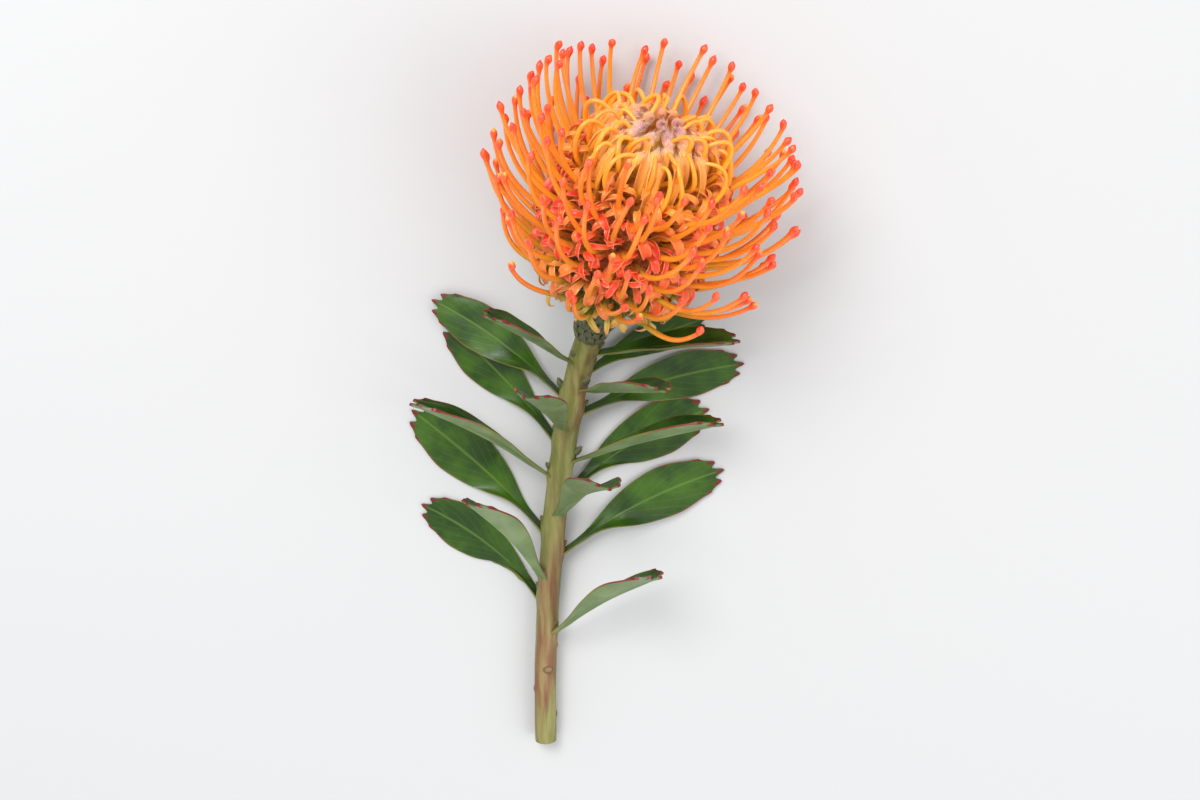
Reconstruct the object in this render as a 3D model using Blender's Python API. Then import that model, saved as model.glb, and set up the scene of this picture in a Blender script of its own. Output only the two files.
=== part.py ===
"""A pincushion protea flower, cut with its leafy stem and laid down on a flat surface.

The stem lies along +Y, with its cut end at -Y, and its neck lifts the head off the surface (z = 0).
Along the head's own axis the pieces are a scaly involucre, a ring of open florets (curled perianths
and long styles with swollen tips) and a crown of closed florets, whose styles still bow out in loops.
Everything is in metres, +Z up, with the origin on the surface under the middle of the flower.
"""

import math
import random

import bmesh
import bpy
from mathutils import Matrix, Vector

MM = 0.001
GOLDEN_ANGLE = math.radians(137.508)
FIT_GAP = 0.3 * MM  # between two pieces that grow from each other

# The stem, a cubic curve from the cut end to the neck
CUT_END = Vector((-20.98, -138.33, 4.0)) * MM
STEM_REACH = Vector((17.0, 164.0, 0)) * MM  # from the cut end to the neck, over the surface
NECK_HEIGHT = 17.0 * MM
STEM_START = Vector((-0.02, 0.99, 0.09))  # the direction in which the stem leaves the cut end
STEM_HANDLE = 62 * MM
NECK_HANDLE = 40 * MM
STEM_RADIUS = 4.1 * MM
NECK_RADIUS = 4.7 * MM
CUSHION = 0.9 * MM  # how far a leaf cushion stands out of the stem
CUSHION_SPREAD = 0.022  # half its length, as a share of the stem's

# The head, measured along its axis from the top of the involucre
HEAD_LIFT = math.radians(24)  # of the head's axis above the surface
HEAD_LEAN = math.radians(17)  # of the head's axis towards +X
INVOLUCRE_LENGTH = 16 * MM
INVOLUCRE_RADIUS = 11 * MM
INVOLUCRE_FOOT = 5.3 * MM  # its radius where it stands on the neck
CORE_RADIUS = 23 * MM
CORE_FOOT = 9.5 * MM  # the core's radius where it stands in the involucre
CORE_MIDDLE = 38 * MM  # the height of the core's widest ring
CORE_TOP = 68 * MM
CROWN_BASE = 52 * MM  # where the closed florets' part of the core begins
PRESS = 2.2 * MM  # how softly the surface bends what is laid on it

# The open florets. Their places on the core are polar angles from the crown, and pairs of values
# hold for the florets next to the crown and for those at the base.
OPEN_FLORETS = 71
OPEN_TOP = math.radians(65)
OPEN_BOTTOM = math.radians(151)
STYLE_RADIUS = 1.05 * MM
STYLE_TIP_RADIUS = 1.6 * MM
STYLE_LEAVE = (math.radians(54), math.radians(80))  # from the head's axis, at the core
STYLE_ARRIVE = (math.radians(8), math.radians(22))  # and at the tip
STYLE_LENGTH = 45 * MM
STYLE_EXTRA = 6 * MM  # what the styles halfway down are longer
STYLE_SWING = 4 * MM  # how far a tip strays to the side at most
STYLE_ROOT = 5 * MM  # how deep it sits in the core
STYLE_STEPS = 32  # fine steps of a style's path
CURL_WIDTH = 5.2 * MM
CURL_THICKNESS = 0.9 * MM
CURL_RADIUS = 3.1 * MM
CURL_LEAVE = (math.radians(38), math.radians(72))
CURL_STRETCH = (8.5 * MM, 5.2 * MM)  # the straight part before it rolls up
CURL_ROLL = (math.radians(225), math.radians(265))  # the least and the most that it rolls up
CURL_UNROLLED = math.radians(60)  # less at the base
CURL_TURN = math.radians(35)  # out of the head's half plane at most
CURL_ROOT = 4 * MM
CURL_BESIDE = 4.2 * MM  # from its style
COLLAR = 0.13  # share of the open florets, next to the crown, that show both halves of their perianth

# The closed florets
CLOSED_FLORETS = 34
CROWN_ANGLE = math.radians(59)
LOOPED_FROM = math.radians(26)  # the innermost buds show no loop
BUD_RADIUS = 1.7 * MM
BUD_REACH = (5 * MM, 12 * MM)  # of its foot's handle, for the innermost and the outermost bud
BUD_PULL = 8 * MM
LIMB_RADIUS = 2.0 * MM
LOOP_RADIUS = 0.95 * MM
LOOP_REACH = (14 * MM, 19 * MM)  # the least and the most of a loop's handles
LOOP_PULL = (12 * MM, 17 * MM)
LOOP_ARRIVE = math.radians(-140)
BUD_ARRIVE = (math.radians(-28), math.radians(-112))
DOME_RADIUS = 33.5 * MM  # the egg form in which the perianths end
DOME_HALF_HEIGHT = 37 * MM
DOME_MIDDLE = 42 * MM

# The bracts of the involucre
BRACT_ROWS = 3
BRACTS_IN_ROW = 9
BRACT_LEAN = math.radians(28)

# The leaves. Pairs of values hold for the lowest and for the highest leaf.
LEAVES = 17
FIRST_LEAF = 0.25  # share of the stem's length
LAST_LEAF = 0.95
FIRST_TURN = math.radians(48)  # round the stem from straight up
LEAF_THICKNESS = 0.9 * MM
LEAF_LENGTH = (64 * MM, 50 * MM)
LEAF_SLIMNESS = (0.27, 0.32)  # the least and the most of its width, as shares of its length
LEAF_LEAVE = (math.radians(44), math.radians(62))  # from the stem
LEAF_CURVE = (math.radians(4), math.radians(24))  # the least and the most that it bends outwards
LEAF_CUP = math.radians(24)
LEAF_ROWS = 5
TOOTH_REACH = (0.89, 0.965, 0.94, 1.0, 0.94, 0.965, 0.89)  # the apex across the blade, in leaf lengths
SIDEWAYS = math.radians(105)  # leaves that would face the surface more than this are turned aside
SETTLE = 0.15 * MM  # how far a leaf on the surface is flattened against it


def mix(a, b, share):
    return a + (b - a) * share


def smooth(x):
    x = min(max(x, 0.0), 1.0)
    return x * x * (3 - 2 * x)


def material(name, colour, roughness):
    made = bpy.data.materials.new(name)
    made.use_nodes = True
    shader = made.node_tree.nodes["Principled BSDF"]
    shader.inputs["Base Color"].default_value = (*colour, 1)
    shader.inputs["Roughness"].default_value = roughness
    shader.inputs["Metallic"].default_value = 0
    return made


def object_from(bm, name, finish=None):
    """Turns a bmesh into an object of the scene, with its normals outwards."""
    bmesh.ops.recalc_face_normals(bm, faces=bm.faces[:])
    mesh = bpy.data.meshes.new(name)
    bm.to_mesh(mesh)
    bm.free()
    mesh.shade_smooth()
    mesh.set_sharp_from_angle(angle=math.radians(50))
    if finish:
        mesh.materials.append(finish)
    made = bpy.data.objects.new(name, mesh)
    bpy.context.scene.collection.objects.link(made)
    return made


def fuse(body, repeats):
    """Joins the repeats to the body they grow from with one Boolean union, and removes them."""
    collection = bpy.data.collections.new("repeats")
    for repeat in repeats:
        bpy.context.scene.collection.objects.unlink(repeat)
        collection.objects.link(repeat)
    bpy.context.scene.collection.children.link(collection)
    union = body.modifiers.new("fuse", "BOOLEAN")
    union.operation = "UNION"
    union.operand_type = "COLLECTION"
    union.collection = collection
    graph = bpy.context.evaluated_depsgraph_get()
    joined = bpy.data.meshes.new_from_object(body.evaluated_get(graph))
    body.modifiers.clear()
    body.data = joined
    for repeat in repeats:
        bpy.data.objects.remove(repeat)
    bpy.data.collections.remove(collection)
    return body


def rest_on_surface(body):
    """Flattens what would reach below the surface, so that the piece rests on it."""
    for vert in body.data.vertices:
        vert.co.z = max(vert.co.z, 0.0)
    return body


def pressed(point, clearance):
    """The point lifted smoothly to at least the clearance above the surface, as a springy stalk is."""
    depth = (point.z - clearance) / PRESS
    if depth < 30:
        point = point.copy()
        point.z = clearance + PRESS * math.log1p(math.exp(depth))
    return point


def sweep(points, across, sizes, corners, twist=0.0, directions=None, pointed=False):
    """A closed bar along the points. Each size is (half width along across, half thickness)."""
    bm = bmesh.new()
    bmesh.ops.create_circle(
        bm, cap_ends=True, segments=corners, radius=1, matrix=Matrix.Rotation(twist, 4, "Z")
    )
    bm.faces.ensure_lookup_table()
    face = bm.faces[0]
    outline = [vert.co.copy() for vert in face.verts]
    for index, point in enumerate(points):
        if index == 1:  # the first extrusion keeps its face, as the bar's end
            grown = bmesh.ops.extrude_face_region(bm, geom=[face])["geom"]
            face = next(part for part in grown if isinstance(part, bmesh.types.BMFace))
        elif index > 1:
            face = bmesh.ops.extrude_discrete_faces(bm, faces=[face])["faces"][0]
        if directions:
            tangent = directions[index]
        else:
            tangent = (points[min(index + 1, len(points) - 1)] - points[max(index - 1, 0)]).normalized()
        wide = (across - across.dot(tangent) * tangent).normalized()
        deep = tangent.cross(wide)
        width, thickness = sizes[index]
        for vert, corner in zip(face.verts, outline):
            vert.co = point + wide * corner.x * width + deep * corner.y * thickness
    if pointed:
        bmesh.ops.pointmerge(bm, verts=face.verts[:], merge_co=points[-1])
    return bm


def ribbon(points, across, widths, thicknesses):
    """A closed flat bar along the points, four-sided, with its width along across."""
    half = 0.5 / math.sin(math.pi / 4)
    sizes = [(width * half, thickness * half) for width, thickness in zip(widths, thicknesses)]
    return sweep(points, across, sizes, 4, twist=math.pi / 4)


def arch(start, leave, reach, end, arrive, pull, steps):
    """(radius, height) points of a cubic curve that leaves and arrives at angles from the head's axis."""
    out = (start[0] + reach * math.sin(leave), start[1] + reach * math.cos(leave))
    back = (end[0] - pull * math.sin(arrive), end[1] - pull * math.cos(arrive))
    path = []
    for share in steps:
        rest = 1 - share
        weights = (rest**3, 3 * rest**2 * share, 3 * rest * share**2, share**3)
        corners = (start, out, back, end)
        path.append(tuple(sum(w * corner[i] for w, corner in zip(weights, corners)) for i in (0, 1)))
    return path


# ---- the stem ----


def head_axis():
    """The direction of the head, and of the stem's end."""
    level = math.cos(HEAD_LIFT)
    return Vector((level * math.sin(HEAD_LEAN), level * math.cos(HEAD_LEAN), math.sin(HEAD_LIFT)))


def stem_ends():
    neck = CUT_END + STEM_REACH
    neck.z = NECK_HEIGHT
    return (
        CUT_END,
        CUT_END + STEM_START.normalized() * STEM_HANDLE,
        neck - head_axis() * NECK_HANDLE,
        neck,
    )


def stem_point(share):
    a, b, c, d = stem_ends()
    rest = 1 - share
    return a * rest**3 + b * 3 * rest**2 * share + c * 3 * rest * share**2 + d * share**3


def stem_direction(share):
    a, b, c, d = stem_ends()
    rest = 1 - share
    return ((b - a) * rest**2 + (c - b) * 2 * rest * share + (d - c) * share**2).normalized()


def stem_radius(share):
    return mix(STEM_RADIUS, NECK_RADIUS, smooth(share))


def leaf_share(index):
    """The leaf's place along the stem. The leaves crowd towards the head."""
    return mix(FIRST_LEAF, LAST_LEAF, (index / (LEAVES - 1)) ** 0.85)


def leaf_turn(index):
    """The leaf's angle round the stem from straight up. Those that face the surface are turned aside."""
    turn = (index * GOLDEN_ANGLE + FIRST_TURN) % math.tau
    side = 1 if turn < math.pi else -1
    off_top = turn if side > 0 else math.tau - turn
    if off_top > SIDEWAYS:
        off_top = mix(SIDEWAYS, off_top, 0.3)
    return side * off_top


def stem_axes(share):
    """The stem's direction, the way to its right and the way up from it."""
    along = stem_direction(share)
    right = along.cross(Vector((0, 0, 1))).normalized()
    return along, right, right.cross(along)


def stem_outward(share, turn):
    _, right, up = stem_axes(share)
    return up * math.cos(turn) + right * math.sin(turn)


def cushion_height(share, outward):
    """How far the leaf cushions lift the stem's skin at this place."""
    height = 0.0
    for index in range(LEAVES):
        off = (share - leaf_share(index)) / CUSHION_SPREAD
        facing = max(outward.dot(stem_outward(leaf_share(index), leaf_turn(index))), 0.0)
        height = max(height, CUSHION * math.exp(-off * off) * facing**4)
    return height


def make_stem(finish):
    rings, corners = 26, 10
    shares = [index / (rings - 1) for index in range(rings)]
    points = [stem_point(share) for share in shares]
    sizes = [(stem_radius(share),) * 2 for share in shares]
    directions = [stem_direction(share) for share in shares]
    bm = sweep(points, stem_axes(0)[1], sizes, corners, directions=directions)
    for vert in bm.verts:
        share, middle = min(zip(shares, points), key=lambda ring: (ring[1] - vert.co).length)
        outward = (vert.co - middle).normalized()
        vert.co += outward * cushion_height(share, outward)
    return rest_on_surface(object_from(bm, "stem", finish))


# ---- the head ----


def head_frame():
    """Head coordinates: x to the right, y upwards and z along the head's axis from the involucre's top."""
    axis = head_axis()
    right = axis.cross(Vector((0, 0, 1))).normalized()
    up = right.cross(axis)
    frame = Matrix((right, up, axis)).transposed().to_4x4()
    frame.translation = stem_ends()[3] + axis * (INVOLUCRE_LENGTH + FIT_GAP)
    return frame


def turned(profile, steps, name, finish):
    """A solid turned round the head's axis from (radius, height) points that begin and end on it."""
    bm = bmesh.new()
    line = [bm.verts.new((radius, 0, height)) for radius, height in profile]
    edges = [bm.edges.new(pair) for pair in zip(line, line[1:])]
    bmesh.ops.spin(
        bm, geom=line + edges, cent=(0, 0, 0), axis=(0, 0, 1), angle=math.tau, steps=steps, use_merge=True
    )
    bmesh.ops.remove_doubles(bm, verts=bm.verts[:], dist=0.01 * MM)
    bmesh.ops.transform(bm, matrix=head_frame(), verts=bm.verts[:])
    return object_from(bm, name, finish)


def on_core(polar):
    """The core's (radius, height) at a polar angle from the crown."""
    side, height = math.sin(polar), math.cos(polar)
    if height > 0:
        return CORE_RADIUS * side, CORE_MIDDLE + (CORE_TOP - CORE_MIDDLE) * height
    return mix(CORE_FOOT, CORE_RADIUS, abs(side) ** 1.6), CORE_MIDDLE * (1 + height)


def meridian(frame, azimuth, flat, sideways=None):
    """Points of the half plane at an azimuth, from (radius, height) pairs and their drift sideways."""
    out = Vector((math.cos(azimuth), math.sin(azimuth), 0))
    across = Vector((-math.sin(azimuth), math.cos(azimuth), 0))
    drift = sideways or [0.0] * len(flat)
    points = [frame @ (out * r + across * d + Vector((0, 0, w))) for (r, w), d in zip(flat, drift)]
    return points, frame.to_3x3() @ across


def bent_path(start, angle, length, steps):
    """(radius, height) points from start, where angle(share) gives the direction from the head's axis."""
    path = [start]
    for index in range(steps):
        turn = angle((index + 0.5) / steps)
        r, w = path[-1]
        step = length / steps
        path.append((r + step * math.sin(turn), w + step * math.cos(turn)))
    return path


def open_floret(index, count, draw):
    """How far down an open floret stands, from the crown to the base, its polar angle and azimuth."""
    down = ((index + 0.5) / count) ** 1.15  # they stand closest by the crown
    polar = math.acos(mix(math.cos(OPEN_TOP), math.cos(OPEN_BOTTOM), down))
    azimuth = index * GOLDEN_ANGLE + math.radians(draw.uniform(-3, 3))
    return down, polar, azimuth


def make_style(frame, down, polar, azimuth, draw):
    """A released style: it leaves the core, arches outwards and rises to its swollen tip."""
    leave = mix(*STYLE_LEAVE, down) + math.radians(draw.uniform(-3, 3))
    arrive = mix(*STYLE_ARRIVE, down) + math.radians(draw.uniform(-8, 8))
    length = (STYLE_LENGTH + STYLE_EXTRA * math.sin(math.pi * down)) * draw.uniform(0.95, 1.05)
    swing = STYLE_SWING * draw.uniform(-1, 1)
    r, w = on_core(polar)
    path = bent_path((r, w), lambda share: mix(leave, arrive, share**1.25), length, STYLE_STEPS)
    root = (r - STYLE_ROOT * math.sin(leave), w - STYLE_ROOT * math.cos(leave))
    chosen = (6, 12, 18, 24, 28, 30, 31, 32)
    flat = [root] + [path[step] for step in chosen]
    drift = [0.0] + [swing * (step / STYLE_STEPS) ** 2 for step in chosen]
    points, across = meridian(frame, azimuth, flat, drift)
    points = [pressed(point, STYLE_RADIUS) for point in points]
    slim = (1.0, 1.0, 0.92, 0.84, 0.76, 0.76, 1.1, STYLE_TIP_RADIUS / STYLE_RADIUS, 0.3)
    sizes = [(STYLE_RADIUS * share,) * 2 for share in slim]
    return object_from(sweep(points, across, sizes, 3, pointed=True), "style")


def make_curl(frame, down, polar, azimuth, draw):
    """The perianth of an open floret, a ribbon rolled back towards the base beside its style."""
    leave = mix(*CURL_LEAVE, smooth(down * 2))
    stretch = mix(*CURL_STRETCH, smooth(down * 3)) * draw.uniform(0.85, 1.1)
    roll = draw.uniform(*CURL_ROLL) - CURL_UNROLLED * smooth((down - 0.6) * 3)
    r, w = on_core(polar)
    path = [(r - CURL_ROOT * math.sin(leave), w - CURL_ROOT * math.cos(leave))]
    rolled = (r + stretch * math.sin(leave), w + stretch * math.cos(leave))
    path += bent_path(rolled, lambda share: leave + roll * share, CURL_RADIUS * roll, 4)
    points, across = meridian(frame, azimuth, path)
    turn = Matrix.Rotation(CURL_TURN * draw.uniform(-1, 1), 3, points[1] - points[0])
    points = [points[0] + turn @ (point - points[0]) for point in points]
    points = [pressed(point, CURL_WIDTH / 2) for point in points]
    widths = [CURL_WIDTH * share for share in (0.7, 0.9, 1.0, 1.0, 0.9, 0.6)]
    return object_from(ribbon(points, turn @ across, widths, [CURL_THICKNESS] * len(path)), "curl")


def make_open_florets(finish):
    draw = random.Random(11)
    frame = head_frame()
    top = CROWN_BASE - FIT_GAP / 2
    rim = math.acos((top - CORE_MIDDLE) / (CORE_TOP - CORE_MIDDLE))
    profile = [(0, 0)] + [on_core(mix(math.pi, rim, step / 7)) for step in range(8)] + [(0, top)]
    body = turned(profile, 22, "open_florets", finish)
    repeats = []
    for index in range(OPEN_FLORETS):
        down, polar, azimuth = open_floret(index, OPEN_FLORETS, draw)
        repeats.append(make_style(frame, down, polar, azimuth, draw))
        beside = CURL_BESIDE / on_core(polar)[0]
        for side in (1, -1) if down < COLLAR else (1,):
            repeats.append(make_curl(frame, down, polar, azimuth + side * beside, draw))
    return rest_on_surface(fuse(body, repeats))


def on_dome(polar):
    return DOME_RADIUS * math.sin(polar), DOME_MIDDLE + DOME_HALF_HEIGHT * math.cos(polar)


def bud_tip(polar):
    """Where the limb of a closed floret ends: on the dome, nearer the crown's middle than its foot."""
    return on_dome(polar * mix(0.3, 0.5, polar / CROWN_ANGLE))


def bud_path(polar, steps):
    outward = polar / CROWN_ANGLE
    r, w = on_core(polar)
    root = (r * 0.85, max(w - 2.5 * MM, CROWN_BASE + 2.1 * MM))
    arrive = mix(*BUD_ARRIVE, outward)
    return arch(root, polar, mix(*BUD_REACH, outward), bud_tip(polar), arrive, BUD_PULL, steps)


def make_bud(frame, polar, azimuth):
    """A closed perianth: it leaves the core outwards, and its hairy limb bends in over the crown."""
    path = bud_path(polar, (0, 0.3, 0.6, 0.78, 0.92, 1))
    points, across = meridian(frame, azimuth, path)
    radii = (BUD_RADIUS, BUD_RADIUS, BUD_RADIUS * 0.95, LIMB_RADIUS, LIMB_RADIUS * 0.9, 0.4 * MM)
    return object_from(sweep(points, across, [(radius,) * 2 for radius in radii], 5, pointed=True), "bud")


def make_loop(frame, polar, azimuth, draw):
    """The style of a closed floret, which bows out of the tube's split side and back to its limb."""
    root, end = bud_path(polar, (0.22, 0.82))
    reach, pull = draw.uniform(*LOOP_REACH), draw.uniform(*LOOP_PULL)
    steps = [index / 6 for index in range(7)]
    path = arch(root, mix(1.25, polar, 0.5), reach, end, LOOP_ARRIVE, pull, steps)
    points, across = meridian(frame, azimuth, path)
    return object_from(sweep(points, across, [(LOOP_RADIUS,) * 2] * 7, 3), "loop")


def make_closed_florets(finish):
    draw = random.Random(5)
    frame = head_frame()
    base = CROWN_BASE + FIT_GAP / 2
    rim = math.acos((base - CORE_MIDDLE) / (CORE_TOP - CORE_MIDDLE))
    profile = [(0, base)] + [on_core(rim * (1 - step / 4)) for step in range(5)]
    body = turned(profile, 18, "closed_florets", finish)
    repeats = []
    for index in range(CLOSED_FLORETS):
        outward = (index + 0.5) / CLOSED_FLORETS
        polar = math.acos(mix(1, math.cos(CROWN_ANGLE), outward))
        azimuth = index * GOLDEN_ANGLE
        repeats.append(make_bud(frame, polar, azimuth))
        if polar > LOOPED_FROM:
            repeats.append(make_loop(frame, polar, azimuth, draw))
    return fuse(body, repeats)


def cup_radius(share):
    """The involucre's radius, from the stem's neck at 0 to the florets at 1."""
    return mix(INVOLUCRE_FOOT, INVOLUCRE_RADIUS, share**1.5)


def make_involucre(finish):
    """The cup of overlapping pointed bracts under the head."""
    shares = (0, 0.5, 1)
    low, high = -INVOLUCRE_LENGTH, -FIT_GAP
    profile = [(0, low)] + [(cup_radius(share), mix(low, high, share)) for share in shares] + [(0, high)]
    body = turned(profile, 12, "involucre", finish)
    frame = head_frame()
    repeats = []
    for row in range(BRACT_ROWS):
        share = (row + 0.45) / BRACT_ROWS
        for place in range(BRACTS_IN_ROW):
            azimuth = math.tau * (place + 0.5 * (row % 2)) / BRACTS_IN_ROW
            repeats.append(make_bract(frame, cup_radius(share), mix(low, high, share), azimuth))
    return fuse(body, repeats)


def make_bract(frame, radius, height, azimuth):
    """One ovate bract, rooted in the cup, with its point standing off it."""
    path = [
        (radius - 0.4 * MM + reach * math.sin(BRACT_LEAN), height + reach * math.cos(BRACT_LEAN))
        for reach in (-1.2 * MM, 1.8 * MM, 4.1 * MM)
    ]
    points, across = meridian(frame, azimuth, path)
    bract = ribbon(points, across, (3.6 * MM, 4.2 * MM, 0.7 * MM), (1.5 * MM, 1.2 * MM, 0.7 * MM))
    return object_from(bract, "bract")


# ---- the leaves ----


def leaf_form(index):
    """A leaf's length, width, angle from the stem and outward curve, which change along the stem."""
    draw = random.Random(100 + index)
    up = index / (LEAVES - 1)
    length = mix(*LEAF_LENGTH, smooth((up - 0.55) / 0.45)) * draw.uniform(0.95, 1.08)
    width = length * draw.uniform(*LEAF_SLIMNESS)
    leave = mix(*LEAF_LEAVE, up) + math.radians(draw.uniform(-5, 5))
    return length, width, leave, draw.uniform(*LEAF_CURVE)


def leaf_half_width(share):
    """The blade's outline as a share of its half width: a narrow base, and widest past the middle."""
    grow = smooth(share / 0.68)
    shrink = 1 - 0.42 * smooth((share - 0.66) / 0.34)
    return mix(0.24, 1.0, grow) * shrink


def leaf_base(stem, index):
    """Where the middle of the leaf's base stands, just off the skin of its cushion."""
    outward = stem_outward(leaf_share(index), leaf_turn(index))
    _, skin, _, _ = stem.ray_cast(stem_point(leaf_share(index)) + outward * 20 * MM, -outward)
    return skin + outward * FIT_GAP


def leaf_point(index, base, share, across):
    """A point of the blade's upper face, at a share of its length and from -1 to 1 across it."""
    length, width, leave, curve = leaf_form(index)
    along = stem_direction(leaf_share(index))
    outward = stem_outward(leaf_share(index), leaf_turn(index))
    angle = leave + curve * share
    run = length / curve * (math.sin(angle) - math.sin(leave))
    rise = length / curve * (math.cos(leave) - math.cos(angle))
    direction = along * math.cos(angle) + outward * math.sin(angle)
    side = outward.cross(along)
    level = direction.cross(Vector((0, 0, 1))).normalized()
    if level.dot(side) < 0:
        level.negate()
    settled = smooth((share - 0.08) / 0.45) * smooth(-outward.z / 0.25)  # a leaf on the surface lies flat
    side = side.lerp(level, settled).normalized()
    cup = LEAF_CUP * (1 - settled) * smooth(share / 0.4)
    half = width * 0.5 * leaf_half_width(share)
    raised = side.cross(direction) * abs(across) ** 1.5 * math.sin(cup)
    return base + along * run + outward * rise + half * (side * across * math.cos(cup) + raised)


def make_leaf(index, stem, finish):
    base = leaf_base(stem, index)
    bm = bmesh.new()
    columns = len(TOOTH_REACH) - 1
    bmesh.ops.create_grid(bm, x_segments=columns, y_segments=LEAF_ROWS, size=1)
    for vert in bm.verts:
        across, row = vert.co.x, (vert.co.y + 1) / 2
        reach = TOOTH_REACH[round((across + 1) / 2 * columns)]
        point = leaf_point(index, base, row * mix(0.86, reach, smooth((row - 0.5) * 2)), across)
        vert.co = point.lerp(pressed(point, LEAF_THICKNESS - SETTLE), min(row * 5, 1))
    bmesh.ops.triangulate(bm, faces=bm.faces[:])
    bm.normal_update()
    bmesh.ops.solidify(bm, geom=bm.faces[:], thickness=LEAF_THICKNESS)
    return rest_on_surface(object_from(bm, f"leaf_{index + 1:02d}", finish))


def main():
    for old in list(bpy.data.objects):
        bpy.data.objects.remove(old)
    bark = material("stem_skin", (0.20, 0.20, 0.06), 0.6)
    scale = material("bract_felt", (0.24, 0.25, 0.12), 0.8)
    petal = material("open_floret_orange", (1.0, 0.30, 0.04), 0.4)
    bud = material("closed_floret_yellow", (1.0, 0.50, 0.12), 0.6)
    leaf = material("leaf_green", (0.05, 0.16, 0.035), 0.4)
    stem = make_stem(bark)
    bpy.context.view_layer.update()
    make_involucre(scale)
    make_open_florets(petal)
    make_closed_florets(bud)
    for index in range(LEAVES):
        make_leaf(index, stem, leaf)


main()
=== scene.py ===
"""The finish of a cut pincushion protea that lies on a pale surface.

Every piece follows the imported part: the same curve for the stem, the same egg form for the head and the
same rules for where florets, bracts and leaves stand, now with fine surfaces, hairs, veins and colour.
Everything is in metres, +Z up. Lengths are written in millimetres, times MM.
"""

import random
from math import acos, copysign, cos, exp, hypot, log1p, pi, radians, sin, sqrt, tau

import bmesh
import bpy
from mathutils import Matrix, Vector, noise


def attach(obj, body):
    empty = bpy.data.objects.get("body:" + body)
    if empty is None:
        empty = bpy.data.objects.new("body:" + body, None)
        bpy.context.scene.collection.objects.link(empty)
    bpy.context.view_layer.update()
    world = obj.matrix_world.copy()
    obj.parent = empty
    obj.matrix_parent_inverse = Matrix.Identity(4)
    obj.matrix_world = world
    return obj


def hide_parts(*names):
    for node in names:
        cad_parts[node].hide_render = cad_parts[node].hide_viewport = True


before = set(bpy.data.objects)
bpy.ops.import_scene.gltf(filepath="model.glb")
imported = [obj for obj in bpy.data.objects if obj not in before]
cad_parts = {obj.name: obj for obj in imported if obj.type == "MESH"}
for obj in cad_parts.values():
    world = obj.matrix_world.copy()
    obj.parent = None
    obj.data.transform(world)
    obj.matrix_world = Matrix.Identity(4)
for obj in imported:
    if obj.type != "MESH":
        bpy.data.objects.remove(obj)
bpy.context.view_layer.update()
scene = bpy.context.scene

MM = 0.001
UP = Vector((0, 0, 1))
GOLDEN_ANGLE = radians(137.508)
FIT_GAP = 0.3 * MM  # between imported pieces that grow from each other
RIBBON_COLUMNS = 4

# The stem's curve
CUT_END = Vector((-20.98, -138.33, 4.0)) * MM
STEM_REACH = Vector((17.0, 164.0, 0)) * MM
NECK_HEIGHT = 17.0 * MM
STEM_START = Vector((-0.02, 0.99, 0.09))
STEM_HANDLE = 62 * MM
NECK_HANDLE = 40 * MM
STEM_RADIUS = 4.1 * MM
NECK_RADIUS = 4.7 * MM
STEM_RINGS = 210
STEM_CORNERS = 48
CUSHION = 0.9 * MM
CUSHION_SPREAD = 0.022
SCARS = (0.06, 0.115, 0.165, 0.21)  # places of leaves that have been stripped off the lower stem
SCAR_LENGTH = 0.0085
SCAR_WIDTH = radians(30)
SCAR_HEIGHT = 0.45 * MM
GROWTH_RINGS = (0.91, 0.8, 0.6, 0.32)  # of the cut end, as shares of its radius
DOWN_TUFTS = 18

# The head, along its axis
HEAD_LIFT = radians(24)
HEAD_LEAN = radians(17)
INVOLUCRE_LENGTH = 16 * MM
INVOLUCRE_RADIUS = 11 * MM
INVOLUCRE_FOOT = 5.3 * MM
CORE_RADIUS = 23 * MM
CORE_FOOT = 9.5 * MM
CORE_MIDDLE = 38 * MM
CORE_TOP = 68 * MM
FILLERS = 260  # more perianth ribbons, in the gaps between the florets
PRESS = 2.2 * MM

# The open florets
OPEN_FLORETS = 132
OPEN_TOP = radians(60)
OPEN_BOTTOM = radians(151)
STYLE_RADIUS = 1.05 * MM
STYLE_LEAVE = (radians(54), radians(80))
STYLE_ARRIVE = (radians(8), radians(22))
STYLE_LENGTH = 45 * MM
STYLE_EXTRA = 6 * MM
STYLE_SWING = 5 * MM
STYLE_ROOT = 5 * MM
STYLE_STEPS = 64
STYLE_CORNERS = 8
TIP_STEP = 54  # from which the style's tip is modelled step by step
TIP_LENGTH = 4.8 * MM  # of the swollen pollen presenter
TIP_RADIUS = 1.45 * MM
CURL_WIDTH = 3.7 * MM
CURL_THICKNESS = 0.3 * MM
CURL_RADIUS = 2.8 * MM
CURL_SIZES = (1.0, 0.75, 0.58)  # of the three ribbons that a perianth splits into
CURL_LEAVE = (radians(38), radians(72))
CURL_STRETCH = (8.5 * MM, 5.6 * MM)
CURL_ROOT = 4 * MM
CURL_HAIRS = 12

# The closed florets
CLOSED_FLORETS = 37
GOLDEN_STRAPS = 34  # open sides of perianth tubes, between the limbs
CROWN_ANGLE = radians(62)
LOOPED_FROM = radians(18)
BUD_RADIUS = 1.45 * MM
BUD_HAIRS = 120
LIMB_RADIUS = 2.4 * MM
LOOP_RADIUS = 0.86 * MM
BUD_REACH = (5 * MM, 12 * MM)
BUD_PULL = 8 * MM
BUD_SWAY = 2.5 * MM  # how far a closed floret, and the style that it holds, may lean aside
LOOP_REACH = (11 * MM, 19 * MM)
LOOP_PULL = (10 * MM, 18 * MM)
LOOP_ARRIVE = radians(-140)
BUD_ARRIVE = (radians(-28), radians(-112))
DOME_RADIUS = 33.5 * MM
DOME_HALF_HEIGHT = 37 * MM
DOME_MIDDLE = 42 * MM

# The involucre's bracts
BRACT_ROWS = 6
BRACTS_IN_ROW = 13
BRACT_LENGTH = 6.2 * MM

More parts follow.
